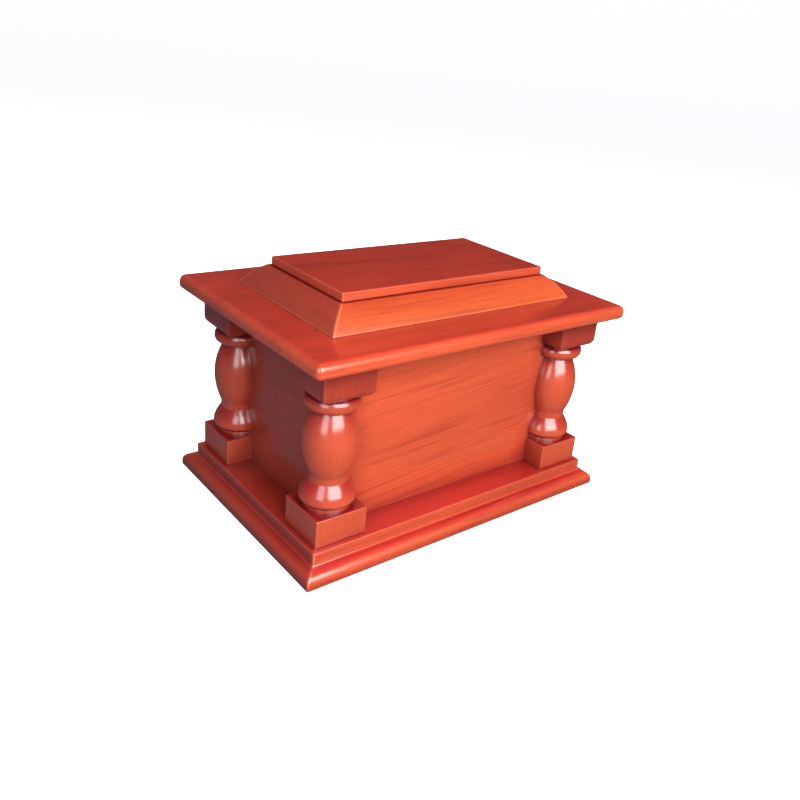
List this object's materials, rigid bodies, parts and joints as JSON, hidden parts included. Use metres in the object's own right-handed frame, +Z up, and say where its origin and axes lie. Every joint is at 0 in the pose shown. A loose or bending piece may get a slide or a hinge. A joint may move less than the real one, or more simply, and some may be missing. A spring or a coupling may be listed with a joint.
{
  "type": "cremation urn box",
  "caption": "Hollow lacquered wooden urn box with a moulded base, turned corner columns and a lift-off lid with a bevelled raised panel.",
  "frame": {"origin": "on the ground, under the middle of the base", "axes": "+Z up, +X along the length, -Y the front"},
  "size_m": [0.301, 0.2074, 0.1943],
  "materials": {
    "base_wood": "red-orange stain under gloss lacquer",
    "wall_wood": "red-orange stain under gloss lacquer",
    "column_wood": "red-orange stain under gloss lacquer",
    "lid_wood": "red-orange stain under gloss lacquer",
    "floor_wood": "thin matt sealer"
  },
  "bodies": {
    "root": {"base_moulding_front": "base_wood", "base_moulding_back": "base_wood", "base_moulding_left": "base_wood", "base_moulding_right": "base_wood", "floor_board": "floor_wood", "wall_front": "wall_wood", "wall_back": "wall_wood", "wall_left": "wall_wood", "wall_right": "wall_wood", "column_front_left": "column_wood", "column_front_right": "column_wood", "column_back_left": "column_wood", "column_back_right": "column_wood", "lid_slab": "lid_wood", "lid_bevel_front": "lid_wood", "lid_bevel_back": "lid_wood", "lid_bevel_left": "lid_wood", "lid_bevel_right": "lid_wood", "lid_top_panel": "lid_wood"}
  },
  "joints": []
}
